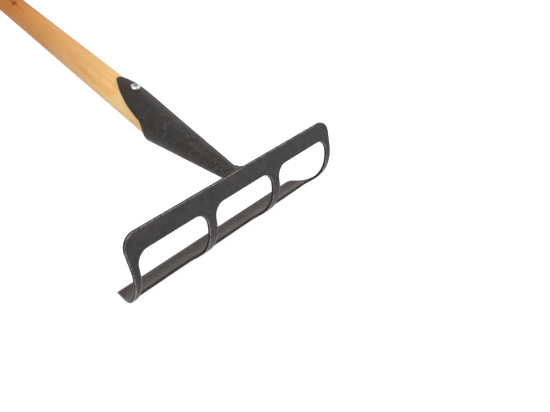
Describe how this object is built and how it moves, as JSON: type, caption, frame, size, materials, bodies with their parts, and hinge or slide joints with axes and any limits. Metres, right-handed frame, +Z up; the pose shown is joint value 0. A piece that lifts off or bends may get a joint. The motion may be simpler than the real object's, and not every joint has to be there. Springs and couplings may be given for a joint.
{
  "type": "hoe rake",
  "caption": "Long-handled hoe rake: a bar and curved straps frame windows above a flat blade, on a rolled socket with a leaf-shaped lip, screwed to an ash handle.",
  "frame": {"origin": "middle of the ground area that the tool covers as it lies at rest on its cutting edge and its butt, at ground level", "axes": "+X along the bar to the right as seen from in front of the head, +Y from the head towards the butt of the handle, +Z up"},
  "size_m": [0.265, 1.5647, 0.0947],
  "materials": {
    "plate_steel": "dark rolled plate with light scuffs, satin",
    "socket_steel": "dark forging scale, dull satin",
    "weld_steel": "grey weld bead, uneven",
    "zinc_steel": "bright zinc plating",
    "ash_wood": "light varnished ash with long brown grain"
  },
  "bodies": {
    "root": {"head_plate": "plate_steel", "socket": "socket_steel", "neck_weld": "weld_steel", "lip_screw": "zinc_steel", "handle": "ash_wood"}
  },
  "joints": []
}
